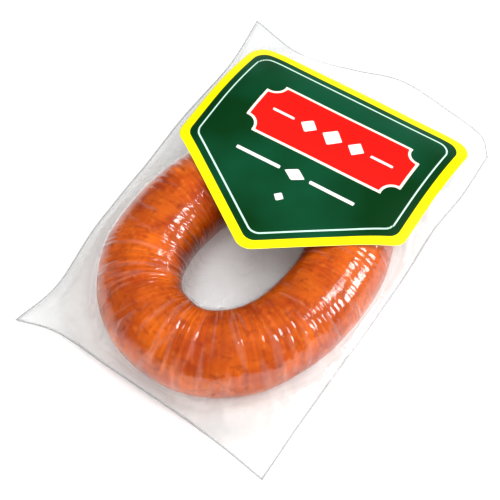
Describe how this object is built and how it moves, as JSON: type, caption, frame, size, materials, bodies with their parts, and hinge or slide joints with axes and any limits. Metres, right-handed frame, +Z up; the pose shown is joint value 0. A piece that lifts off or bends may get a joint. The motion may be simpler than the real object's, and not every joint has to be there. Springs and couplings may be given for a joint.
{
  "type": "vacuum-packed ring sausage",
  "caption": "Smoked, cured ring sausage in a clear vacuum pouch, with a five-sided label stuck over the place where its two clipped ends meet",
  "frame": {"origin": "under the middle of the pouch, on the surface that the pack lies on", "axes": "+X across the pouch, +Y along it towards the end with the label, +Z up through the front film"},
  "size_m": [0.1497, 0.219, 0.0407],
  "materials": {
    "smoked_casing": "semi-gloss, mottled",
    "clip_metal": "satin",
    "clear_film": "clear gloss",
    "label_print": "semi-gloss print"
  },
  "bodies": {
    "root": {"sausage": "smoked_casing", "end_clip_left": "clip_metal", "end_clip_right": "clip_metal", "back_film": "clear_film", "front_film": "clear_film", "label": "label_print"}
  },
  "joints": []
}
